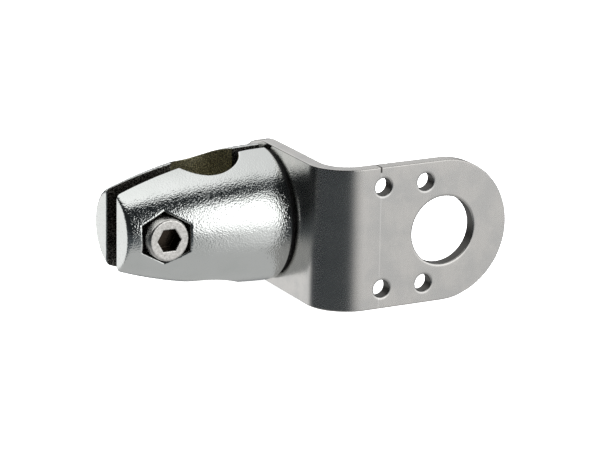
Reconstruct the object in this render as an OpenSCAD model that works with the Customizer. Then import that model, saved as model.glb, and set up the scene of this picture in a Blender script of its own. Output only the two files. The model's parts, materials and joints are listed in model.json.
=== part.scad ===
// Rail clamp with a swivelling angle bracket.
// The origin is the middle of the rail bore. +Z runs along the rail, +X from the nose of the
// clamp to the bracket, and -Y is the side of the clamp screw's head.

/* [Rail] */
// Diameter of the rail that the clamp grips
rail_d = 25; // [20:0.5:30]
// Distance from the rail's axis to the face of the bracket
rail_to_plate = 25; // [22:0.5:34]

/* [Clamp body] */
// Distance from the rail's axis to the tip of the nose
nose_reach = 38; // [36:0.5:46]
// Diameter of the body where it meets the bracket
base_d = 51.4; // [48:0.2:60]
// Diameter of the flat end of the nose, before its edge is rounded
nose_d = 30.4; // [28:0.2:36]
// Radius of the rounded edge of the nose
nose_edge = 1.4; // [0.5:0.1:3]
// Chamfer on the edge of the base
base_chamfer = 0.5; // [0.2:0.1:1.5]
// Gap between the halves at the base
gap_base = 4.8; // [3:0.1:6]
// Gap between the halves at the nose
gap_nose = 8.9; // [5:0.1:10]

/* [Clamp screw and nut] */
// Distance from the rail's axis to the clamp screw's axis
screw_reach = 24.25; // [23:0.25:28]
// Thread diameter of the clamp screw
screw_d = 10; // [8:1:10]
// Length of the clamp screw under its head
screw_len = 30; // [25:1:34]
// Diameter of the clamp screw's head
screw_head_d = 16; // [13:0.5:16]
// Height of the clamp screw's head
screw_head_h = 10; // [8:0.5:10]
// Width across flats of the hexagon socket in the head
socket_af = 8; // [6:0.5:8]
// Depth of the hexagon socket
socket_depth = 5; // [3:0.5:6]
// Width across flats of the nut
nut_af = 16; // [13:0.5:19]
// Height of the nut
nut_h = 8; // [6:0.5:8]
// Gap between the nut's flats and its pocket
pocket_play = 0.4; // [0.1:0.1:0.6]
// Distance from the split plane to the floor of each pocket
pocket_floor = 11; // [9:0.5:12]

/* [Swivel hub] */
// Wall between the rail bore and the hub's groove
hub_wall = 3; // [2:0.5:5]
// Thickness of the hub's flange
flange_t = 3.8; // [2.5:0.1:4]
// Diameter of the hub's flange
flange_d = 32; // [28:0.5:36]
// Diameter of the hub's neck
neck_d = 22; // [20:0.5:27]
// Running gap around the hub, on its radius and on its faces
hub_play = 0.1; // [0.05:0.01:0.2]
// Thickness of the friction washer
friction_t = 0.95; // [0.5:0.05:2]
// Outer diameter of the friction washer
friction_d = 48; // [40:0.5:50]
// Diameter of the dowel that keys the hub to the bracket
pin_d = 3; // [2:0.5:3]
// Length of the dowel
pin_len = 7.5; // [6:0.5:8]
// Distance from the swivel axis to the dowel's axis
pin_reach = 7.6; // [7:0.1:8]

/* [Pivot screw] */
// Thread diameter of the pivot screw
pivot_d = 8; // [6:1:8]
// Distance that the pivot screw's tip stops short of the hub's inner end
pivot_short = 1.9; // [0.5:0.1:4]
// Width across flats of the pivot screw's head
pivot_af = 13; // [10:0.5:13]
// Height of the pivot screw's head
pivot_head_h = 5.3; // [4:0.1:6]
// Outer diameter of the plain washer
flat_washer_d = 16; // [14:0.5:20]
// Thickness of the plain washer
flat_washer_t = 1.6; // [1:0.1:2]
// Outer diameter of the spring washer
spring_washer_d = 14.8; // [12:0.2:14.8]
// Thickness of the spring washer
spring_washer_t = 2; // [1.5:0.1:2.5]

/* [Bracket] */
// Thickness of the bracket's sheet
plate_t = 5; // [4:0.5:6]
// Width of the bracket, and the diameter of its two round ends
plate_w = 54; // [52:0.5:66]
// Outside radius of the bend
bend_r = 15.6; // [12:0.2:18]
// Distance from the swivel axis to the outer face of the mounting leg
leg_drop = 50.5; // [46:0.5:60]
// Distance from the clamp face of the bracket to the middle of the large hole
leg_reach = 48.4; // [46:0.2:60]
// Diameter of the large hole
large_hole_d = 26; // [20:0.5:30]
// Diameter of the four small holes
small_hole_d = 6.6; // [5:0.1:8]
// Distance from the clamp face of the bracket to the first pair of small holes
small_hole_start = 23; // [21:0.2:24]
// Spacing of the small holes along the leg
small_hole_x = 17.6; // [14:0.2:19]
// Spacing of the small holes across the leg
small_hole_z = 38.8; // [36:0.2:40]
// Deburring chamfer on every hole of the bracket
deburr = 0.4; // [0.1:0.1:0.6]

/* [Hidden] */
$fn = 96;
// Amount by which a cutting solid runs past the face that it cuts
over = 1;
// Gap between a thread and its tapped hole, both drawn as plain cylinders
thread_play = 0.05;
// Gap around a screw in a plain hole, on its radius
hole_play = 0.25;
// Gap around the dowel and at its inner end
pin_play = 0.05;
// Axial gap that lets the friction washer slide on the clamp's base
friction_play = 0.05;
bore_r = rail_d / 2;
base_x = rail_to_plate - friction_t - friction_play;
body_len = nose_reach + base_x;
base_r = base_d / 2;
nose_r = nose_d / 2;
// The side of the body is an arc, tangent to the swivel axis's direction at the base
taper = base_r - nose_r;
side_r = (body_len * body_len + taper * taper) / (2 * taper);
// Middle of the round of the nose's edge, which touches both the side arc and the end face
edge_x = nose_edge - nose_reach;
edge_r = base_r - side_r + sqrt(pow(side_r - nose_edge, 2) - pow(base_x - edge_x, 2));
// Where the round of the nose's edge runs into the side arc, along X and as a turn of the round
join_x = base_x + (edge_x - base_x) * side_r / (side_r - nose_edge);
edge_turn = atan2(edge_r + side_r - base_r, base_x - edge_x);
// Numbers of straight steps that draw the two arcs
side_steps = 40;
edge_steps = 5;
pocket_af = nut_af + 2 * pocket_play;
groove_x = bore_r + hub_wall;
flange_x = groove_x + hub_play;
lip_x = flange_x + flange_t + hub_play;
flange_r = flange_d / 2;
neck_r = neck_d / 2;
plate_far = rail_to_plate + plate_t;
washer_x = plate_far + flat_washer_t;
pivot_seat_x = washer_x + spring_washer_t;
pivot_len = pivot_seat_x - flange_x - pivot_short;
bend_x = rail_to_plate + bend_r;
bend_y = bend_r - leg_drop;
large_hole_x = rail_to_plate + leg_reach;
plate_r = plate_w / 2;

// Radius of a hexagon's corners from its width across flats
function corner_r(af) = af / 2 / cos(30);

// A cylinder along +X that starts at x, and one along +Y that starts at y
module along_x(r, x, len) {
    translate([x, 0, 0])
        rotate([0, 90, 0])
            cylinder(r = r, h = len);
}

module along_y(r, y, len) {
    translate([0, y, 0])
        rotate([-90, 0, 0])
            cylinder(r = r, h = len);
}

// A hexagonal prism along +Y whose corners point up and down
module hex_along_y(af, y, len) {
    translate([0, y, 0])
        rotate([-90, 0, 0])
            rotate([0, 0, 30])
                cylinder(r = corner_r(af), h = len, $fn = 6);
}

// A point on the side arc: radius, and distance along X
function side_point(x) = [base_r - side_r + sqrt(side_r * side_r - pow(base_x - x, 2)), x];

// A point on the round of the nose's edge, where turn is 0 on the end face
function edge_point(turn) = [edge_r + nose_edge * sin(turn), edge_x - nose_edge * cos(turn)];

// The whole body of revolution, with a rounded nose and a chamfer on its base edge
module body_solid() {
    side_end = base_x - base_chamfer;
    rotate([0, 90, 0])
        rotate_extrude()
            polygon(concat(
                [[0, -nose_reach]],
                [for (i = [0 : edge_steps]) edge_point(edge_turn * i / edge_steps)],
                [for (i = [1 : side_steps]) side_point(join_x + (side_end - join_x) * i / side_steps)],
                [[base_r - base_chamfer, base_x], [0, base_x]]
            ));
}

// Everything on the screw head's side of the split, which widens towards the nose
module front_side() {
    past = nose_reach + over;
    slope = (gap_nose - gap_base) / 2 / body_len;
    y_base = -gap_base / 2 + slope * over;
    y_nose = -gap_nose / 2 - slope * over;
    translate([0, 0, -base_r - over])
        linear_extrude(height = 2 * (base_r + over))
            polygon([
                [base_x + over, y_base],
                [-past, y_nose],
                [-past, -base_r - over],
                [base_x + over, -base_r - over],
            ]);
}

module clamp_half() {
    difference() {
        intersection() {
            body_solid();
            front_side();
        }
        cylinder(r = bore_r, h = base_d + 2 * over, center = true);
        along_x(flange_r + hub_play, groove_x, lip_x - groove_x);
        along_x(neck_r + hub_play, lip_x - over, base_x - lip_x + 2 * over);
        translate([-screw_reach, 0, 0]) {
            along_y(screw_d / 2 + hole_play, -base_r, base_d);
            hex_along_y(pocket_af, -pocket_floor - base_r, base_r);
        }
    }
}

module clamp_half_front() {
    color("gainsboro")
        clamp_half();
}

module clamp_half_rear() {
    color("gainsboro")
        rotate([180, 0, 0])
            clamp_half();
}

module clamp_screw() {
    chamfer = screw_d / 10;
    color("silver")
        translate([-screw_reach, -pocket_floor, 0])
            difference() {
                union() {
                    along_y(screw_d / 2, 0, screw_len - chamfer);
                    translate([0, screw_len - chamfer, 0])
                        rotate([-90, 0, 0])
                            cylinder(r1 = screw_d / 2, r2 = screw_d / 2 - chamfer, h = chamfer);
                    along_y(screw_head_d / 2, chamfer / 2 - screw_head_h, screw_head_h - chamfer / 2);
                    translate([0, -screw_head_h, 0])
                        rotate([-90, 0, 0])
                            cylinder(r1 = (screw_head_d - chamfer) / 2, r2 = screw_head_d / 2,
                                     h = chamfer / 2);
                }
                translate([0, -screw_head_h, 0])
                    rotate([-90, 0, 0])
                        translate([0, 0, -over])
                            cylinder(r = corner_r(socket_af), h = socket_depth + over, $fn = 6);
            }
}

// A hexagon from z = 0 to z = h with the corners of its far end, or of both ends, turned down
module turned_hex(af, h, both) {
    wide_r = corner_r(af) + over;
    drop = (wide_r - af / 2) * tan(30);
    near_end = both ? [[af / 2, 0], [wide_r, drop]] : [[wide_r, 0]];
    intersection() {
        cylinder(r = corner_r(af), h = h, $fn = 6);
        rotate_extrude()
            polygon(concat([[0, 0]], near_end, [[wide_r, h - drop], [af / 2, h], [0, h]]));
    }
}

module clamp_nut() {
    color("silver")
        translate([-screw_reach, pocket_floor, 0])
            rotate([-90, 0, 0])
                difference() {
                    rotate([0, 0, 30])
                        turned_hex(nut_af, nut_h, true);
                    translate([0, 0, -over])
                        cylinder(r = screw_d / 2 + thread_play, h = nut_h + 2 * over);
                }
}

module swivel_hub() {
    color("darkgray")
        difference() {
            union() {
                along_x(flange_r, flange_x, flange_t);
                along_x(neck_r, flange_x, rail_to_plate - flange_x);
            }
            along_x(pivot_d / 2 + thread_play, flange_x - over, rail_to_plate - flange_x + 2 * over);
            translate([0, 0, pin_reach])
                along_x(pin_d / 2 + pin_play, plate_far - pin_len - pin_play, pin_len + over);
        }
}

module hub_pin() {
    color("silver")
        translate([0, 0, pin_reach])
            along_x(pin_d / 2, plate_far - pin_len, pin_len - pin_play);
}

module washer(x, outer_r, inner_r, t) {
    difference() {
        along_x(outer_r, x, t);
        along_x(inner_r, x - over, t + 2 * over);
    }
}

module friction_washer() {
    color("black")
        washer(rail_to_plate - friction_t, friction_d / 2, neck_r + hub_play, friction_t);
}

module pivot_flat_washer() {
    color("silver")
        washer(plate_far, flat_washer_d / 2, pivot_d / 2 + hole_play, flat_washer_t);
}

module pivot_spring_washer() {
    slot = 1;
    lean = 30;
    color("silver")
        difference() {
            washer(washer_x, spring_washer_d / 2, pivot_d / 2 + hole_play, spring_washer_t);
            translate([washer_x + spring_washer_t / 2, 0, spring_washer_d / 2])
                rotate([0, 0, lean])
                    cube([3 * spring_washer_t, slot, spring_washer_d], center = true);
        }
}

module pivot_screw() {
    chamfer = pivot_d / 10;
    color("silver") {
        translate([pivot_seat_x, 0, 0])
            rotate([0, 90, 0])
                turned_hex(pivot_af, pivot_head_h, false);
        along_x(pivot_d / 2, pivot_seat_x - pivot_len + chamfer, pivot_len - chamfer);
        translate([pivot_seat_x - pivot_len, 0, 0])
            rotate([0, 90, 0])
                cylinder(r1 = pivot_d / 2 - chamfer, r2 = pivot_d / 2, h = chamfer);
    }
}

// The bent strip seen from above: clamp leg, quarter bend and mounting leg
module strip_section() {
    leg_end = large_hole_x + plate_r;
    translate([rail_to_plate, bend_y])
        square([plate_t, plate_r - bend_y]);
    translate([bend_x, -leg_drop])
        square([leg_end - bend_x, plate_t]);
    intersection() {
        difference() {
            translate([bend_x, bend_y])
                circle(r = bend_r);
            translate([bend_x, bend_y])
                circle(r = bend_r - plate_t);
        }
        translate([rail_to_plate, -leg_drop])
            square([bend_r, bend_r]);
    }
}

// A round hole with its two edges broken, along +Y through the mounting leg
module leg_hole(d, x, z) {
    translate([x, 0, z]) {
        along_y(d / 2, -leg_drop - over, plate_t + 2 * over);
        for (side = [0, 1])
            translate([0, side * plate_t - leg_drop, 0])
                rotate([side ? 90 : -90, 0, 0])
                    translate([0, 0, -over])
                        cylinder(r1 = d / 2 + deburr + over, r2 = d / 2, h = deburr + over);
    }
}

module bracket_plate() {
    color("lightgray")
        difference() {
            intersection() {
                translate([0, 0, -plate_r])
                    linear_extrude(height = plate_w)
                        strip_section();
                union() {
                    along_x(plate_r, rail_to_plate - over, plate_t + 2 * over);
                    translate([rail_to_plate - over, -leg_drop - over, -plate_r])
                        cube([large_hole_x - rail_to_plate + over, leg_drop + over, plate_w]);
                    translate([large_hole_x, 0, 0])
                        along_y(plate_r, -leg_drop - over, plate_t + 2 * over);
                }
            }
            leg_hole(large_hole_d, large_hole_x, 0);
            for (column = [0, 1], side = [-1, 1])
                leg_hole(small_hole_d,
                         rail_to_plate + small_hole_start + column * small_hole_x,
                         side * small_hole_z / 2);
            along_x(pivot_d / 2 + hole_play, rail_to_plate - over, plate_t + 2 * over);
            translate([0, 0, pin_reach])
                along_x(pin_d / 2 + pin_play, rail_to_plate - over, plate_t + 2 * over);
        }
}

bracket_plate();
clamp_half_front();
clamp_half_rear();
clamp_screw();
clamp_nut();
swivel_hub();
hub_pin();
friction_washer();
pivot_flat_washer();
pivot_spring_washer();
pivot_screw();
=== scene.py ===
"""Looks of the rail clamp and its swivelling angle bracket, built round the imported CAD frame.

Lengths are in millimetres, in the CAD frame: +Z along the rail, +X from the nose of the clamp to
the bracket, -Y towards the clamp screw's head. Meshes are scaled to metres as they are made.
"""

import json
import math

import bmesh
import bpy
import numpy as np
from mathutils import Matrix, Vector


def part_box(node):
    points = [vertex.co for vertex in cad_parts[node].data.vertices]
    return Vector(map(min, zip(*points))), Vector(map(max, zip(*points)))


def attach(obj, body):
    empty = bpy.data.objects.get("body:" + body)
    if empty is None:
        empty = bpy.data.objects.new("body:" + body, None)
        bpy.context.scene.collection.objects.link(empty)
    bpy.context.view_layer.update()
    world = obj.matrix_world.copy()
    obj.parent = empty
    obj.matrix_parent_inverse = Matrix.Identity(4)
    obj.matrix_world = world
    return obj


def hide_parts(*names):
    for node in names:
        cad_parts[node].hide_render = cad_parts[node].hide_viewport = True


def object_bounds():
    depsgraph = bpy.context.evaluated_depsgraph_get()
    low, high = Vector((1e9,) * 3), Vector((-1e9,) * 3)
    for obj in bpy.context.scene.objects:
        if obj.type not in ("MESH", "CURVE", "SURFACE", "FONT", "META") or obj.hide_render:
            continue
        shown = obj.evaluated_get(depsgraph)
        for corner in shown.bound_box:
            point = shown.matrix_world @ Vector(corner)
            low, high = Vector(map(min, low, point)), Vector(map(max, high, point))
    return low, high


MM = 0.001


def node_box(node):
    """Lowest and highest corner of a CAD node, in millimetres."""
    low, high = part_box(node)
    return np.array(low) / MM, np.array(high) / MM


# ---------------------------------------------------------------- sizes


class Size:
    """The sizes that the looks share with the CAD, read from the frame where it shows them."""

    def __init__(self):
        mounts = {m["name"]: m for m in frame["record"]["mounts"]}
        half_low, half_high = node_box("clamp_half_front")
        plate_low, plate_high = node_box("bracket_plate")
        screw_low, screw_high = node_box("clamp_screw")
        hub_low, hub_high = node_box("swivel_hub")
        nut_low, nut_high = node_box("clamp_nut")
        # Clamp body, and how far its cast edges are rounded
        self.bore_r = mounts["rail_clamp"]["dims"]["r_mm"]
        self.nose_x = half_low[0]
        self.base_x = half_high[0]
        self.base_r = -half_low[1]
        self.nose_r = 15.2
        self.gap_base = -2 * half_high[1]
        self.gap_nose = 8.9
        self.nose_edge = 1.4
        self.base_edge = 1.0
        self.split_edge = 0.3
        self.bore_edge = 0.6
        self.hole_edge = 0.2
        self.pocket_edge = 0.9
        # Clamp screw and nut
        self.screw_x = (screw_low[0] + screw_high[0]) / 2
        self.head_r = (screw_high[0] - screw_low[0]) / 2
        self.screw_tip = screw_high[1]
        self.head_y = screw_low[1]
        self.head_h = 10.0
        self.pocket_floor = nut_low[1]
        self.screw_r = 5.0
        self.screw_play = 0.25
        self.pitch = 1.5
        self.socket_af = 8.0
        self.socket_h = 5.0
        self.head_edge = 0.9
        self.socket_edge = 0.45
        self.tip_chamfer = 1
        self.nut_af = nut_high[0] - nut_low[0]
        self.nut_h = nut_high[1] - nut_low[1]
        self.pocket_af = self.nut_af + 0.8
        # Hub, and the pivot screw that holds it to the bracket
        self.hub_low = hub_low[0]
        self.flange_t = 3.8
        self.flange_r = hub_high[1]
        self.neck_r = 11.0
        self.hub_play = 0.1
        self.pivot_r = 4.0
        self.pivot_pitch = 1.25
        self.pivot_af = 13.0
        self.pivot_head_h = 5.3
        self.pivot_hole_r = 4.25
        self.pin_z = 7.6
        self.pin_hole_r = 1.55
        # Bracket
        self.plate_x = hub_high[0]
        self.plate_t = 5.0
        self.plate_r = plate_high[2]
        self.leg_y = plate_low[1]
        self.plate_end = plate_high[0]
        self.bend_r = 15.6
        self.plate_edge = 0.45
        self.punch_roll = 1.1
        self.holes = mounts["small_holes"]
        self.large_hole = mounts["large_hole"]


# ---------------------------------------------------------------- solids from distance functions


def both(a, b, radius=0.0):
    """The distance to where solids a and b overlap, with the edge between them rounded."""
    if radius == 0:
        return np.maximum(a, b)
    corner = np.hypot(np.maximum(a + radius, 0), np.maximum(b + radius, 0)) - radius
    return np.minimum(np.maximum(a, b), -radius) + radius + corner


def either(a, b, radius=0.0):
    """The distance to solids a and b joined, with the inner corner between them filled."""
    return -both(-a, -b, radius)


def between(v, low, high):
    """The distance to the slab where v lies from low to high."""
    return np.abs(v - (low + high) / 2) - (high - low) / 2


def hexagon(u, v, flats):
    """The distance to a hexagonal prism whose corners lie along v."""
    slant = np.abs(u) / 2 + np.abs(v) * math.sqrt(3) / 2
    return np.maximum(np.abs(u), slant) - flats / 2


def crossings(field, inside, axis):
    """For each grid edge along an axis, where the surface crosses it, as a share of the edge."""
    a = np.take(field, range(field.shape[axis] - 1), axis)
    b = np.take(field, range(1, field.shape[axis]), axis)
    cut = np.take(inside, range(field.shape[axis] - 1), axis) != np.take(
        inside, range(1, field.shape[axis]), axis
    )
    return cut, np.where(cut, a / np.where(cut, a - b, 1), 0)


def surface_net(distance, low, high, step):
    """Vertices and quads of the surface where distance(x, y, z) is 0, on a grid of that step."""
    axes = [np.arange(l - 1.5 * step, h + 2.5 * step, step) for l, h in zip(low, high)]
    field = distance(*np.meshgrid(*axes, indexing="ij", sparse=True))
    inside = field < 0
    cells = tuple(n - 1 for n in field.shape)
    total = np.zeros(cells + (3,), np.float32)
    count = np.zeros(cells, np.int8)
    cuts = []
    for axis in range(3):
        cut, share = crossings(field, inside, axis)
        cuts.append(cut)
        others = [k for k in range(3) if k != axis]
        for p in (0, 1):
            for q in (0, 1):
                window = [slice(None)] * 3
                window[others[0]] = slice(p, p + cells[others[0]])
                window[others[1]] = slice(q, q + cells[others[1]])
                here = cut[tuple(window)]
                total[..., axis] += share[tuple(window)]
                total[..., others[0]] += p * here
                total[..., others[1]] += q * here
                count += here
    used = count > 0
    number = np.full(cells, -1, np.int64)
    number[used] = np.arange(used.sum())
    offset = total[used] / count[used][:, None]
    points = (np.argwhere(used) + offset) * step + np.array([a[0] for a in axes])
    quads = []
    for axis in range(3):
        b, c = (axis + 1) % 3, (axis + 2) % 3
        where = np.argwhere(cuts[axis])
        where = where[(where[:, b] > 0) & (where[:, c] > 0)]
        ring = []
        for db, dc in ((1, 1), (0, 1), (0, 0), (1, 0)):
            cell = where.copy()
            cell[:, b] -= db
            cell[:, c] -= dc
            ring.append(number[tuple(cell.T)])
        quad = np.stack(ring, 1)
        leaving = inside[tuple(where.T)]
        quad[~leaving] = quad[~leaving][:, ::-1]
        quads.append(quad)
    return settle(distance, points, step), np.concatenate(quads)


def slope_of(distance, points, tiny):
    """How fast the distance grows along x, y and z at each point."""
    rises = []
    for move in tiny * np.eye(3):
        rises.append(distance(*(points + move).T) - distance(*(points - move).T))
    return np.stack(rises, 1) / (2 * tiny)


def settle(distance, points, step):
    """Moves each vertex onto the surface along its slope, by little more than half a step."""
    start = points.copy()
    rounds = 4
    flattest = 0.25
    reach = 0.6 * step
    for _ in range(rounds):
        here = distance(*points.T)
        slope = slope_of(distance, points, step * 0.05)
        steep = np.maximum((slope**2).sum(1), flattest)
        points = points - (here / steep)[:, None] * slope
        points = start + np.clip(points - start, -reach, reach)
    return points


def mesh_object(name, points, faces):
    """A smooth-shaded object from points in millimetres."""
    mesh = bpy.data.meshes.new(name)
    mesh.from_pydata((points * MM).tolist(), [], faces.tolist())
    mesh.update()
    mesh.shade_smooth()
    piece = bpy.data.objects.new(name, mesh)
    bpy.context.scene.collection.objects.link(piece)
    return piece


def note(piece, name, values):
    """Keeps one number per vertex for the materials, in millimetres."""
    shade = piece.data.attributes.new(name, "FLOAT", "POINT")
    shade.data.foreach_set("value", values.astype(np.float32))


def dress(piece, body, node, material):
    """Sets the piece's material and the body that it rides on, and hides the CAD node that it
    stands for.
    """
    piece.data.materials.append(material)
    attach(piece, body)
    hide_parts(node)


# ---------------------------------------------------------------- clamp body


def clamp_envelope(x, y, z):
    """The whole clamp body before it is split, bored and drilled."""
    r = np.hypot(y, z)
    taper = S.base_r - S.nose_r
    length = S.base_x - S.nose_x
    side_r = (length**2 + taper**2) / (2 * taper)
    side = np.hypot(x - S.base_x, r - S.base_r + side_r) - side_r
    body = both(side, S.nose_x - x + 0 * r, S.nose_edge)
    return both(body, x - S.base_x + 0 * r, S.base_edge)


def clamp_half(x, y, z):
    """The half on the screw head's side, with its cast edges rounded."""
    slope = (S.gap_nose - S.gap_base) / 2 / (S.base_x - S.nose_x)
    split = (y + S.gap_base / 2 + slope * (S.base_x - x)) / math.hypot(1, slope)
    solid = both(clamp_envelope(x, y, z), split + 0 * z, S.split_edge)
    solid = both(solid, S.bore_r - np.hypot(x, y) + 0 * z, S.bore_edge)
    r = np.hypot(y, z)
    groove_x = S.hub_low - S.hub_play
    lip_x = S.hub_low + S.flange_t + S.hub_play
    groove = both(r - S.flange_r - S.hub_play, between(x, groove_x, lip_x))
    solid = both(solid, -groove)
    overlap = 1
    mouth = both(r - S.neck_r - S.hub_play, groove_x + overlap - x)
    solid = both(solid, -mouth, S.hole_edge)
    across = x - S.screw_x
    hole = np.hypot(across, z) - S.screw_r - S.screw_play
    solid = both(solid, 0 * y - hole, S.hole_edge)
    pocket = both(hexagon(across, z, S.pocket_af), y + S.pocket_floor)
    return both(solid, -pocket, S.pocket_edge)


def make_clamp_halves(chrome):
    """Both halves are one casting: the far one is the near one turned half round."""
    low, high = node_box("clamp_half_front")
    step = 0.3
    points, faces = surface_net(clamp_half, low, high, step)
    turned = points * np.array([1, -1, -1])
    for name, body, node, spots in (
        ("clamp_body_front", "front", "clamp_half_front", points),
        ("clamp_body_rear", "rear", "clamp_half_rear", turned),
    ):
        piece = mesh_object(name, spots, faces)
        note(piece, "depth", -clamp_envelope(*spots.T))
        note(piece, "bore", np.abs(np.hypot(spots[:, 0], spots[:, 1]) - S.bore_r))
        dress(piece, body, node, chrome)


# ---------------------------------------------------------------- screws, nut and washers


def thread(along, r, angle, radius, pitch):
    """A right-handed screw thread round an axis, as the distance to its surface."""
    depth = 0.61 * pitch
    flank_lean = 0.72
    phase = along / pitch - angle / (2 * math.pi)
    ridge = np.abs(2 * (phase - np.floor(phase)) - 1)
    # The ridge is clipped at both ends, which leaves flats on the crest and in the root
    flank = np.clip(1.3 * ridge - 0.15, 0, 1)
    return (r - radius + depth * (1 - flank)) * flank_lean


def shank(thread_surface, outside, past_tip, above_seat):
    """A threaded shank with a chamfered tip, which starts a little way inside its head."""
    overlap = 1
    tip = np.maximum(past_tip, outside + S.tip_chamfer + past_tip)
    return both(both(thread_surface, tip), above_seat - overlap + 0 * outside)


def clamp_screw(x, y, z):
    """A socket-head cap screw along y."""
    u = x - S.screw_x
    r = np.hypot(u, z)
    seat_y = S.head_y + S.head_h
    head = both(r - S.head_r, between(y, S.head_y, seat_y), S.head_edge)
    socket = both(hexagon(z, u, S.socket_af), y - S.head_y - S.socket_h)
    head = both(head, -socket, S.socket_edge)
    thread_surface = thread(y, r, np.arctan2(z, u), S.screw_r, S.pitch)
    return either(head, shank(thread_surface, r - S.screw_r, y - S.screw_tip, seat_y - y), 0.3)


def turned_hexagon(u, v, along, flats, height, both_ends):
    """A hexagon along an axis from 0 to height, with its corners turned down at 30 degrees."""
    lean = math.radians(30)
    solid = both(hexagon(u, v, flats), between(along, 0, height), 0.2)
    outward = (np.hypot(u, v) - flats / 2) * math.sin(lean)
    solid = both(solid, outward + (along - height) * math.cos(lean), 0.15)
    if both_ends:
        solid = both(solid, outward - along * math.cos(lean), 0.15)
    return solid


def clamp_nut(x, y, z):
    """The hexagon nut in the far half's pocket, with a countersunk bore."""
    u = x - S.screw_x
    along = y - S.pocket_floor
    solid = turned_hexagon(u, z, along, S.nut_af, S.nut_h, True)
    play = 0.05
    countersink = 0.7
    flare = np.maximum(0, countersink - np.minimum(along, S.nut_h - along))
    hole = np.hypot(u, z) - S.screw_r - play - flare
    return both(solid, -hole)


def pivot_screw(x, y, z):
    """The hexagon screw from behind the bracket into the hub."""
    low, high = node_box("pivot_screw")
    seat = high[0] - S.pivot_head_h
    r = np.hypot(y, z)
    head = turned_hexagon(y, z, x - seat, S.pivot_af, S.pivot_head_h, False)
    thread_surface = thread(x, r, np.arctan2(z, y), S.pivot_r, S.pivot_pitch)
    return either(head, shank(thread_surface, r - S.pivot_r, low[0] - x, x - seat), 0.2)


def washer_ring(x, y, z, node, edge):
    """A ring round the pivot screw that fills the node's box."""
    low, high = node_box(node)
    return both(between(np.hypot(y, z), S.pivot_hole_r, high[1]), between(x, low[0], high[0]), edge)


def flat_washer(x, y, z):
    """The plain washer against the bracket."""
    return washer_ring(x, y, z, "pivot_flat_washer", 0.25)


def spring_washer(x, y, z):
    """A lock washer, split by a slot that leans across it."""
    low, high = node_box("pivot_spring_washer")
    lean = math.radians(30)
    slot_half = 0.5
    across = y * math.cos(lean) - (x - (low[0] + high[0]) / 2) * math.sin(lean)
    slot = both(np.abs(across) - slot_half, -z)
    return both(washer_ring(x, y, z, "pivot_spring_washer", 0.3), -slot, 0.15)


def make_cap_screw(material):
    """The cap screw, with the depth inside its socket noted for the material's painted shade."""
    low, high = node_box("clamp_screw")
    points, faces = surface_net(clamp_screw, low, high, 0.16)
    piece = mesh_object("cap_screw", points, faces)
    x, y, z = points.T
    inside = np.hypot(x - S.screw_x, z) < S.socket_af * 0.6
    in_head = inside & (y < S.head_y + S.socket_h + 0.2)
    note(piece, "socket", np.where(in_head, y - S.head_y, 0))
    dress(piece, "screw", "clamp_screw", material)


def make_hardware(steel):
    """The fasteners out of the main view, each on its own grid step."""
    coarse = 1
    for name, body, node, distance, step in (
        ("hex_nut", "rear", "clamp_nut", clamp_nut, 0.2),
        ("pivot_bolt", "bracket", "pivot_screw", pivot_screw, 0.16),
        ("plain_washer", "bracket", "pivot_flat_washer", flat_washer, 0.2),
        ("split_washer", "bracket", "pivot_spring_washer", spring_washer, 0.2),
    ):
        low, high = node_box(node)
        points, faces = surface_net(distance, low, high, step * coarse)
        dress(mesh_object(name, points, faces), body, node, steel)


# ---------------------------------------------------------------- bracket


class Strip:
    """Where things lie on the flat strip: s runs along it, from the clamp leg's end."""

    def __init__(self):
        self.bend_s = S.plate_r - (S.leg_y + S.bend_r)
        self.bend_len = S.bend_r * math.pi / 2
        self.bend_end_s = self.bend_s + self.bend_len
        self.bend_x = S.plate_x + S.bend_r
        leg_start = self.bend_end_s - self.bend_x
        self.far_s = leg_start + S.plate_end - S.plate_r
        # Holes as (s, z, radius)
        self.drilled = [(S.plate_r, 0, S.pivot_hole_r), (S.plate_r, S.pin_z, S.pin_hole_r)]
        large_s = leg_start + S.large_hole["pos_m"][0] / MM
        self.punched = [(large_s, 0, S.large_hole["dims"]["r_mm"])]
        dims = S.holes["dims"]
        for side_s in (-0.5, 0.5):
            for side_z in (-0.5, 0.5):
                hole_s = leg_start + S.holes["pos_m"][0] / MM + side_s * dims["spacing_x_mm"]
                self.punched.append((hole_s, side_z * dims["spacing_y_mm"], dims["hole_r_mm"]))

    def bent(self, s, z, w):
        """Where a point of the flat strip goes when it is bent, w below its outer face."""
        if s <= self.bend_s:
            return S.plate_x + w, S.plate_r - s, z
        if s < self.bend_end_s:
            angle = (s - self.bend_s) / S.bend_r
            reach = S.bend_r - w
            x = self.bend_x - reach * math.cos(angle)
            return x, S.leg_y + S.bend_r - reach * math.sin(angle), z
        return self.bend_x + s - self.bend_end_s, S.leg_y + w, z


def arc_points(s, z, radius, count, start, turn):
    """Points along an arc of the flat strip, its two ends among them."""
    angles = [start + turn * k / (count - 1) for k in range(count)]
    return [(s + radius * math.cos(a), z + radius * math.sin(a)) for a in angles]


def circle_points(s, z, radius, count):
    """Points round a circle of the flat strip."""
    return arc_points(s, z, radius, count + 1, 0.0, 2 * math.pi)[:count]


def add_loop(curve, points):
    """Adds one closed outline to a curve."""
    spline = curve.splines.new("POLY")
    spline.points.add(len(points) - 1)
    for place, (s, z) in zip(spline.points, points):
        place.co = (s * MM, z * MM, 0, 1)
    spline.use_cyclic_u = True


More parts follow.
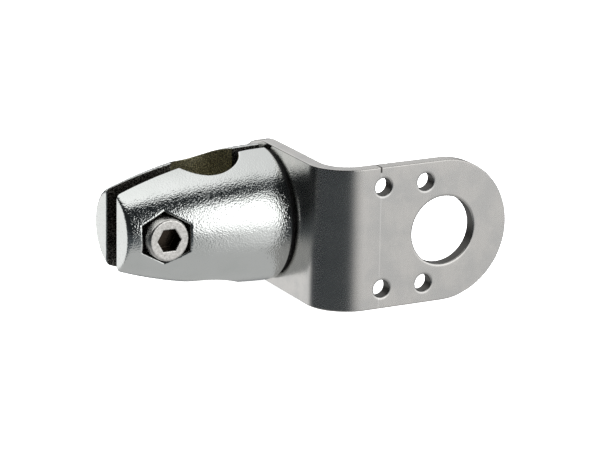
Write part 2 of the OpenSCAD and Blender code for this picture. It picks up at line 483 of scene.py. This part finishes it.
def flat_strip(strip):
    """The strip before it is bent, as a mesh with rounded edges. Punched holes are drawn wide."""
    curve = bpy.data.curves.new("bracket", "CURVE")
    curve.dimensions = "2D"
    curve.fill_mode = "BOTH"
    curve.extrude = (S.plate_t / 2 - S.plate_edge) * MM
    curve.bevel_depth = S.plate_edge * MM
    curve.bevel_resolution = 3
    curve.offset = -S.plate_edge * MM
    quarter = math.pi / 2
    end_points = 97
    hole_points = 64
    clamp_end = arc_points(S.plate_r, 0, S.plate_r, end_points, quarter, math.pi)
    far_end = arc_points(strip.far_s, 0, S.plate_r, end_points, -quarter, math.pi)
    add_loop(curve, clamp_end + far_end)
    for hole_s, hole_z, hole_r in strip.punched:
        count = 2 * hole_points if hole_r > 10 else hole_points
        add_loop(curve, circle_points(hole_s, hole_z, hole_r + S.punch_roll - S.plate_edge, count))
    for hole_s, hole_z, hole_r in strip.drilled:
        add_loop(curve, circle_points(hole_s, hole_z, hole_r, hole_points))
    flat = bpy.data.objects.new("flat_strip", curve)
    bpy.context.scene.collection.objects.link(flat)
    evaluated = flat.evaluated_get(bpy.context.evaluated_depsgraph_get())
    mesh = bpy.data.meshes.new_from_object(evaluated)
    bpy.data.objects.remove(flat)
    return mesh


def cut_for_bend(shape, strip):
    """Cuts the flat strip across, so that it has edges to bend at."""
    cuts = 24
    for k in range(cuts + 1):
        bmesh.ops.bisect_plane(
            shape,
            geom=shape.verts[:] + shape.edges[:] + shape.faces[:],
            plane_co=((strip.bend_s + strip.bend_len * k / cuts) * MM, 0, 0),
            plane_no=(1, 0, 0),
        )


def unwrap(shape):
    """Keeps each point's place on the flat strip as its UV, in units of 100 mm."""
    uv = shape.loops.layers.uv.new("strip")
    for face in shape.faces:
        for corner in face.loops:
            corner[uv].uv = corner.vert.co.xy / (100 * MM)


def punched_place(s, z, w, hole):
    """Shrinks a hole drawn too wide to its own size, all but the outer face's rim."""
    hole_s, hole_z, hole_r = hole
    drawn_r = hole_r + S.punch_roll - S.plate_edge
    slack = 0.01
    rim = math.hypot(s - hole_s, z - hole_z)
    if rim > drawn_r + S.plate_edge + 2 * slack:
        return s, z
    on_outer_rim = w < S.plate_edge - slack
    stretch = S.punch_roll / S.plate_edge if on_outer_rim else 1.0
    share = (hole_r + (rim - drawn_r) * stretch) / rim
    return hole_s + (s - hole_s) * share, hole_z + (z - hole_z) * share


def in_a_hole(s, z, holes):
    """Whether a point of the strip is on the wall of one of the holes."""
    slack = 0.05
    return any(math.hypot(s - hole_s, z - hole_z) < r + slack for hole_s, hole_z, r in holes)


def make_bracket(steel):
    """The strip is drawn flat with its holes and rounded edges, and then bent."""
    strip = Strip()
    mesh = flat_strip(strip)
    shape = bmesh.new()
    shape.from_mesh(mesh)
    bmesh.ops.remove_doubles(shape, verts=shape.verts, dist=0.002 * MM)
    cut_for_bend(shape, strip)
    unwrap(shape)
    wall = shape.verts.layers.float.new("wall")
    for vert in shape.verts:
        s, z = vert.co.x / MM, vert.co.y / MM
        w = S.plate_t / 2 - vert.co.z / MM
        for hole in strip.punched:
            s, z = punched_place(s, z, w, hole)
        vert[wall] = 1.0 if in_a_hole(s, z, strip.punched + strip.drilled) else 0.0
        vert.co = Vector(strip.bent(s, z, w)) * MM
    bmesh.ops.recalc_face_normals(shape, faces=shape.faces)
    shape.to_mesh(mesh)
    shape.free()
    mesh.shade_smooth()
    mesh.set_sharp_from_angle(angle=math.radians(50))
    piece = bpy.data.objects.new("angle_bracket", mesh)
    bpy.context.scene.collection.objects.link(piece)
    weighted = piece.modifiers.new("flat_faces", "WEIGHTED_NORMAL")
    weighted.keep_sharp = True
    mesh.materials.clear()
    dress(piece, "bracket", "bracket_plate", steel)


# ---------------------------------------------------------------- materials


class Nodes:
    """The node tree of a material or a world, with short calls to add and join nodes."""

    def __init__(self, owner):
        owner.use_nodes = True
        self.owner = owner
        self.tree = owner.node_tree

    def add(self, kind, **inputs):
        """Adds a node and sets its inputs by name, such as scale for Scale."""
        node = self.tree.nodes.new(kind)
        for key, value in inputs.items():
            self.set(node.inputs[key.replace("_", " ").title()], value)
        return node

    def set(self, socket, value):
        """Joins an output to a socket, or sets its plain value."""
        if isinstance(value, bpy.types.NodeSocket):
            self.tree.links.new(value, socket)
        else:
            socket.default_value = value

    def noise(self, vector, scale, detail=2.0, rough=0.5):
        """Noise from 0 to 1, with that many lumps in a metre."""
        node = self.add("ShaderNodeTexNoise", scale=scale, detail=detail, roughness=rough)
        self.set(node.inputs["Vector"], vector)
        return node.outputs["Fac"]

    def stretch(self, vector, x, y, z):
        """Scales a vector along each axis, to draw noise out into streaks."""
        node = self.tree.nodes.new("ShaderNodeMapping")
        self.set(node.inputs["Vector"], vector)
        node.inputs["Scale"].default_value = (x, y, z)
        return node.outputs["Vector"]

    def span(self, value, low, high, to_low, to_high):
        """Eases from to_low to to_high while the value goes from low to high."""
        node = self.tree.nodes.new("ShaderNodeMapRange")
        node.interpolation_type = "SMOOTHSTEP"
        for key, entry in (
            ("Value", value),
            ("From Min", low),
            ("From Max", high),
            ("To Min", to_low),
            ("To Max", to_high),
        ):
            self.set(node.inputs[key], entry)
        return node.outputs["Result"]

    def maths(self, operation, a, b=0.0):
        """One Math node's result."""
        node = self.tree.nodes.new("ShaderNodeMath")
        node.operation = operation
        self.set(node.inputs[0], a)
        self.set(node.inputs[1], b)
        return node.outputs[0]

    def blend(self, share, a, b):
        """Mixes two colours, or two numbers."""
        coloured = isinstance(b, tuple) or getattr(b, "type", "VALUE") == "RGBA"
        node = self.tree.nodes.new("ShaderNodeMix")
        node.data_type = "RGBA" if coloured else "FLOAT"
        sockets = {key: [i for i in node.inputs if i.name == key and i.enabled][0] for key in "AB"}
        self.set(node.inputs[0], share)
        self.set(sockets["A"], a)
        self.set(sockets["B"], b)
        return [o for o in node.outputs if o.enabled][0]

    def attribute(self, name):
        """A number that the mesh keeps at each vertex."""
        node = self.tree.nodes.new("ShaderNodeAttribute")
        node.attribute_name = name
        return node.outputs["Fac"]

    def product(self, *factors):
        """Multiplies numbers that come from nodes."""
        result = factors[0]
        for factor in factors[1:]:
            result = self.maths("MULTIPLY", result, factor)
        return result

    def total(self, *terms):
        """Adds numbers that come from nodes."""
        result = terms[0]
        for term in terms[1:]:
            result = self.maths("ADD", result, term)
        return result

    def xyz(self, vector):
        """The three parts of a vector."""
        node = self.tree.nodes.new("ShaderNodeSeparateXYZ")
        self.set(node.inputs[0], vector)
        return node.outputs

    def place(self):
        """Where a point is on its object, in metres."""
        return self.tree.nodes.new("ShaderNodeTexCoord").outputs["Object"]

    def bump(self, height, strength, distance, under=None):
        """Tilts the surface by a height, on top of another bump."""
        node = self.tree.nodes.new("ShaderNodeBump")
        node.inputs["Strength"].default_value = strength
        node.inputs["Distance"].default_value = distance
        self.set(node.inputs["Height"], height)
        if under is not None:
            self.set(node.inputs["Normal"], under)
        return node.outputs["Normal"]

    def finish(self, **sockets):
        """Sets the shader's sockets by name and gives the finished material."""
        shader = self.tree.nodes["Principled BSDF"]
        for key, value in sockets.items():
            self.set(shader.inputs[key.replace("_", " ")], value)
        return self.owner


def material_nodes(name):
    """A new material's node tree, ready to add to."""
    return Nodes(bpy.data.materials.new(name))


def cast_chrome():
    """Plated casting: bright and finely pebbled outside; unplated and grainy where no wheel
    reaches, with painted shade making those inner faces near black away from the olive bore.
    """
    n = material_nodes("cast_chrome")
    place = n.place()
    # Inside is anything deeper than the rounded edges, and its border wanders a little
    wander = n.product(n.noise(place, 1500, 3), 0.35)
    inner = n.span(n.total(n.attribute("depth"), wander), 0.3, 0.65, 0.0, 1.0)
    bore = n.span(n.attribute("bore"), 0.25, 0.5, 1.0, 0.0)
    specks = n.span(n.noise(place, 2600, 3, 0.6), 0.42, 0.68, 0, 1)
    # Painted shade: the inner faces away from the bore are coloured near black for the shade in the
    # gap between the halves, the holes and the pocket; the grey specks are their grit
    painted_shade_black = (0.012, 0.011, 0.009, 1)
    grey_grit = (0.34, 0.33, 0.30, 1)
    olive_pits = (0.25, 0.235, 0.15, 1)
    straw_grit = (0.88, 0.83, 0.58, 1)
    split_face = n.blend(specks, painted_shade_black, grey_grit)
    bore_wall = n.blend(specks, olive_pits, straw_grit)
    raw_and_shaded = n.blend(bore, split_face, bore_wall)
    stain = n.span(n.noise(place, 60, 3), 0.35, 0.7, 0.0, 1.0)
    clean_plate = (0.79, 0.81, 0.795, 1)
    dull_plate = (0.74, 0.765, 0.745, 1)
    plated = n.blend(stain, clean_plate, dull_plate)
    colour = n.blend(inner, plated, raw_and_shaded)
    polish = n.span(n.noise(place, 700, 2), 0.3, 0.75, 0.04, 0.09)
    pebbles = n.noise(place, 1750, 1.0, 0.5)
    swell = n.noise(place, 180, 3)
    soft = n.bump(swell, 0.05, 0.0016)
    normal = n.bump(pebbles, 0.58, 0.0002, soft)
    return n.finish(
        Base_Color=colour, Metallic=1.0, Roughness=n.blend(inner, polish, 0.5), Normal=normal
    )


def satin_steel():
    """Satin stainless sheet, with a die mark by the first holes, and unpolished hole walls that are
    rougher and painted near black as the shade inside the holes.
    """
    n = material_nodes("satin_steel")
    unwrapped = n.tree.nodes.new("ShaderNodeUVMap")
    unwrapped.uv_map = "strip"
    strip = unwrapped.outputs["UV"]
    along, across, _ = n.xyz(strip)
    streaks = n.noise(n.stretch(strip, 900, 18, 1), 1.0, 4, 0.65)
    fine = n.noise(n.stretch(strip, 260, 260, 1), 1.0, 4, 0.7)
    blotch = n.noise(strip, 9, 4, 0.6)
    tone = n.span(blotch, 0.38, 0.66, 0, 1)
    warm_steel = (0.62, 0.605, 0.582, 1)
    cool_steel = (0.545, 0.54, 0.527, 1)
    streak_grey = (0.42, 0.42, 0.41, 1)
    grain_grey = (0.40, 0.40, 0.39, 1)
    colour = n.blend(tone, warm_steel, cool_steel)
    colour = n.blend(n.span(streaks, 0.3, 0.75, 0, 0.3), colour, streak_grey)
    colour = n.blend(n.span(fine, 0.45, 0.75, 0, 0.35), colour, grain_grey)
    # The die mark crosses the strip as a pale line
    mark_s = 0.9265
    mark_pale = (0.80, 0.79, 0.77, 1)
    off_mark = n.maths("ABSOLUTE", n.maths("SUBTRACT", along, mark_s))
    mark = n.span(off_mark, 0.0, 0.004, 1, 0)
    colour = n.blend(n.product(mark, 0.45), colour, mark_pale)
    # Painted shade: where the die mark meets the edge, a dark spot stands for the shade of a notch
    # there
    notch_shade = n.product(n.span(off_mark, 0.002, 0.005, 1, 0), n.span(across, 0.247, 0.252, 0, 1))
    # Painted shade: the hole walls and the notch at the die mark take a near-black colour for the
    # shade inside them; they are also rougher
    painted_shade_grey = (0.07, 0.068, 0.064, 1)
    dark = n.maths("MAXIMUM", notch_shade, n.span(n.attribute("wall"), 0.6, 0.95, 0, 1))
    colour = n.blend(dark, colour, painted_shade_grey)
    # The clamp leg has kept more of its polish than the rest
    kept = n.span(along, 0.58, 0.70, -0.12, 0)
    rough = n.total(n.span(fine, 0.3, 0.7, 0.23, 0.31), kept)
    rough = n.blend(dark, rough, 0.42)
    normal = n.bump(streaks, 0.12, 0.00006, n.bump(fine, 0.14, 0.00008))
    normal = n.bump(mark, 0.25, 0.0001, normal)
    return n.finish(Base_Color=colour, Metallic=1.0, Roughness=rough, Normal=normal)


def plain_steel():
    """Drawn and rolled stainless fasteners, slightly warm."""
    n = material_nodes("plain_steel")
    place = n.place()
    grain = n.noise(place, 2200, 3, 0.6)
    cloud = n.noise(place, 250, 3)
    pale = (0.70, 0.68, 0.655, 1)
    dull = (0.60, 0.585, 0.565, 1)
    colour = n.blend(n.span(cloud, 0.3, 0.7, 0, 1), pale, dull)
    rough = n.span(grain, 0.3, 0.7, 0.22, 0.36)
    normal = n.bump(grain, 0.12, 0.00008)
    return n.finish(Base_Color=colour, Metallic=1.0, Roughness=rough, Normal=normal)


def screw_steel():
    """The cap screw: worn warm steel, with painted shade making its socket dark."""
    n = material_nodes("screw_steel")
    place = n.place()
    grain = n.noise(place, 2200, 3, 0.6)
    cloud = n.noise(place, 900, 3, 0.6)
    mottle = n.span(cloud, 0.38, 0.66, 0, 1)
    pale = (0.76, 0.745, 0.72, 1)
    dull = (0.56, 0.55, 0.525, 1)
    # Painted shade: the socket is coloured nearer black the deeper in it goes, for the shade inside
    # it
    painted_socket_shade = (0.04, 0.031, 0.024, 1)
    inside = n.span(n.attribute("socket"), 0.25, 0.9, 0, 1)
    colour = n.blend(inside, n.blend(mottle, pale, dull), painted_socket_shade)
    rough = n.span(grain, 0.3, 0.7, 0.24, 0.40)
    normal = n.bump(cloud, 0.35, 0.0002, n.bump(grain, 0.15, 0.00008))
    return n.finish(
        Base_Color=colour, Metallic=1.0, Roughness=n.blend(inside, rough, 0.3), Normal=normal
    )


def black_nylon():
    """The friction ring: dull black plastic with a fine grain."""
    n = material_nodes("black_nylon")
    place = n.place()
    grain = n.noise(place, 1800, 2, 0.5)
    black = (0.006, 0.006, 0.0065, 1)
    worn_black = (0.015, 0.015, 0.016, 1)
    colour = n.blend(n.span(grain, 0.3, 0.7, 0, 1), black, worn_black)
    rough = n.span(grain, 0.3, 0.7, 0.42, 0.6)
    normal = n.bump(grain, 0.2, 0.00005)
    return n.finish(Base_Color=colour, Roughness=rough, Specular_IOR_Level=0.3, Normal=normal)


def recoat(node, material):
    """Gives a CAD node that stays in view its finished material."""
    for slot in frame["nodes"][node].material_slots:
        slot.material = material


# ---------------------------------------------------------------- stage, light and camera


def make_floor():
    """A plain pale floor, bright in itself and left out of the metal's reflections."""
    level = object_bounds()[0][2]
    reach = 3.0
    mesh = bpy.data.meshes.new("floor")
    corners = [(-reach, -reach), (reach, -reach), (reach, reach), (-reach, reach)]
    mesh.from_pydata([(x, y, level) for x, y in corners], [], [(0, 1, 2, 3)])
    floor = bpy.data.objects.new("floor", mesh)
    bpy.context.scene.collection.objects.link(floor)
    n = material_nodes("floor_paint")
    place = n.place()
    shade = n.span(n.noise(place, 40, 2), 0.3, 0.7, 0, 1)
    white = (1, 1, 1, 1)
    colour = n.blend(shade, (0.90, 0.90, 0.90, 1), (0.92, 0.92, 0.92, 1))
    finished = n.finish(
        Base_Color=colour, Roughness=0.9, Emission_Color=white, Emission_Strength=1.0
    )
    mesh.materials.append(finished)
    floor.visible_glossy = False


def aim(thing, place, target, roll=0.0):
    """Puts a light or the camera at a place, looking at a target."""
    turn = (Vector(target) - Vector(place)).to_track_quat("-Z", "Y").to_matrix().to_4x4()
    thing.matrix_world = Matrix.Translation(place) @ turn @ Matrix.Rotation(roll, 4, "Z")


def make_lamp():
    """A large soft lamp over the floor."""
    lamp = bpy.data.lights.new("floor_lamp", "AREA")
    lamp.shape = "SQUARE"
    lamp.size = 3.0
    lamp.energy = 90
    thing = bpy.data.objects.new("floor_lamp", lamp)
    bpy.context.scene.collection.objects.link(thing)
    aim(thing, (0, 0.4, 1.6), (0, 0, 0))
    thing.visible_glossy = False


def make_studio():
    """Soft panels all round as the world, by the direction that a reflection looks in.

    turn is the direction round the object in radians, 0 at the front and growing to the right.
    """
    n = Nodes(bpy.data.worlds.new("studio"))
    bpy.context.scene.world = n.owner
    x, y, z = n.xyz(n.tree.nodes.new("ShaderNodeTexCoord").outputs["Generated"])
    turn = n.maths("ARCTAN2", x, n.product(y, -1.0))

    # Overhead: a wide panel that leans over from behind, fading to the right
    lean = math.radians(35)
    upward = n.total(n.product(z, math.cos(lean)), n.product(y, math.sin(lean)))
    upward = n.total(upward, n.product(x, 0.1))
    overhead = n.product(n.span(upward, 0.50, 0.66, 0, 1), n.span(x, -0.1, 0.5, 1.08, 0.72))

    # A bright panel at the front right, from eye level up
    panel_height = n.product(n.span(z, 0.52, 0.76, 1.6, 0), n.span(z, -0.26, 0.03, 0, 1))
    panel_width = n.product(n.span(turn, -0.15, 0.05, 0, 1), n.span(turn, 0.85, 1.3, 1, 0))
    panel = n.product(panel_height, panel_width)

    # Below eye level: pale walls at the right and far left, and the floor
    right = n.product(n.span(turn, -0.35, 0.46, 0, 1), n.span(turn, 0.95, 1.3, 1, 0.1))
    low_left = n.span(turn, -2.5, -2.15, 0.9, 0)
    walls = n.total(low_left, n.product(right, 0.73), 0.06)
    floor_glow = 0.46
    low = n.blend(n.span(z, -0.75, -0.36, 1, 0), walls, floor_glow)
    low = n.product(low, n.span(z, -0.25, 0.0, 1, 0))

    # The dark parts of the room are slightly blue
    room = 0.02
    glow = n.total(overhead, panel, n.total(low, room))
    blue = (0.86, 0.97, 1.06, 1)
    white = (1, 1, 1, 1)
    tint = n.blend(n.span(glow, 0.03, 0.4, 0, 1), blue, white)
    background = n.tree.nodes["Background"]
    n.set(background.inputs["Color"], tint)
    n.set(background.inputs["Strength"], glow)


def make_camera():
    """A long lens to the left of the clamp screw's side and a little above it."""
    target = Vector((32.9, -14.1, -2.8)) * MM
    azimuth = math.radians(-27.86)
    elevation = math.radians(16.28)
    distance = 1.19
    roll = math.radians(0.98)
    back = Vector(
        (
            math.sin(azimuth) * math.cos(elevation),
            -math.cos(azimuth) * math.cos(elevation),
            math.sin(elevation),
        )
    )
    data = bpy.data.cameras.new("camera")
    data.lens = 190.99
    data.sensor_width = 36.0
    data.clip_start = 0.01
    camera = bpy.data.objects.new("camera", data)
    bpy.context.scene.collection.objects.link(camera)
    aim(camera, target + back * distance, target, roll)
    bpy.context.scene.camera = camera


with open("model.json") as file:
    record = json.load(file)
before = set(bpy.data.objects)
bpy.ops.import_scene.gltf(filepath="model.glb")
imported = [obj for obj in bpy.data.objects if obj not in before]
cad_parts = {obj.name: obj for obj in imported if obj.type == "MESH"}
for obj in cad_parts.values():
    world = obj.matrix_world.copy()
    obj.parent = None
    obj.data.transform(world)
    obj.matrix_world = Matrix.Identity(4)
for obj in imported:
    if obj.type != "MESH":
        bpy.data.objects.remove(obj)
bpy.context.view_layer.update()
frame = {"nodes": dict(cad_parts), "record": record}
S = Size()
make_camera()
chrome = cast_chrome()
steel = plain_steel()
make_clamp_halves(chrome)
make_cap_screw(screw_steel())
make_hardware(steel)
make_bracket(satin_steel())
for name in ("swivel_hub", "hub_pin"):
    recoat(name, steel)
recoat("friction_washer", black_nylon())
make_floor()
make_lamp()
make_studio()
bpy.context.scene.view_settings.view_transform = "Standard"
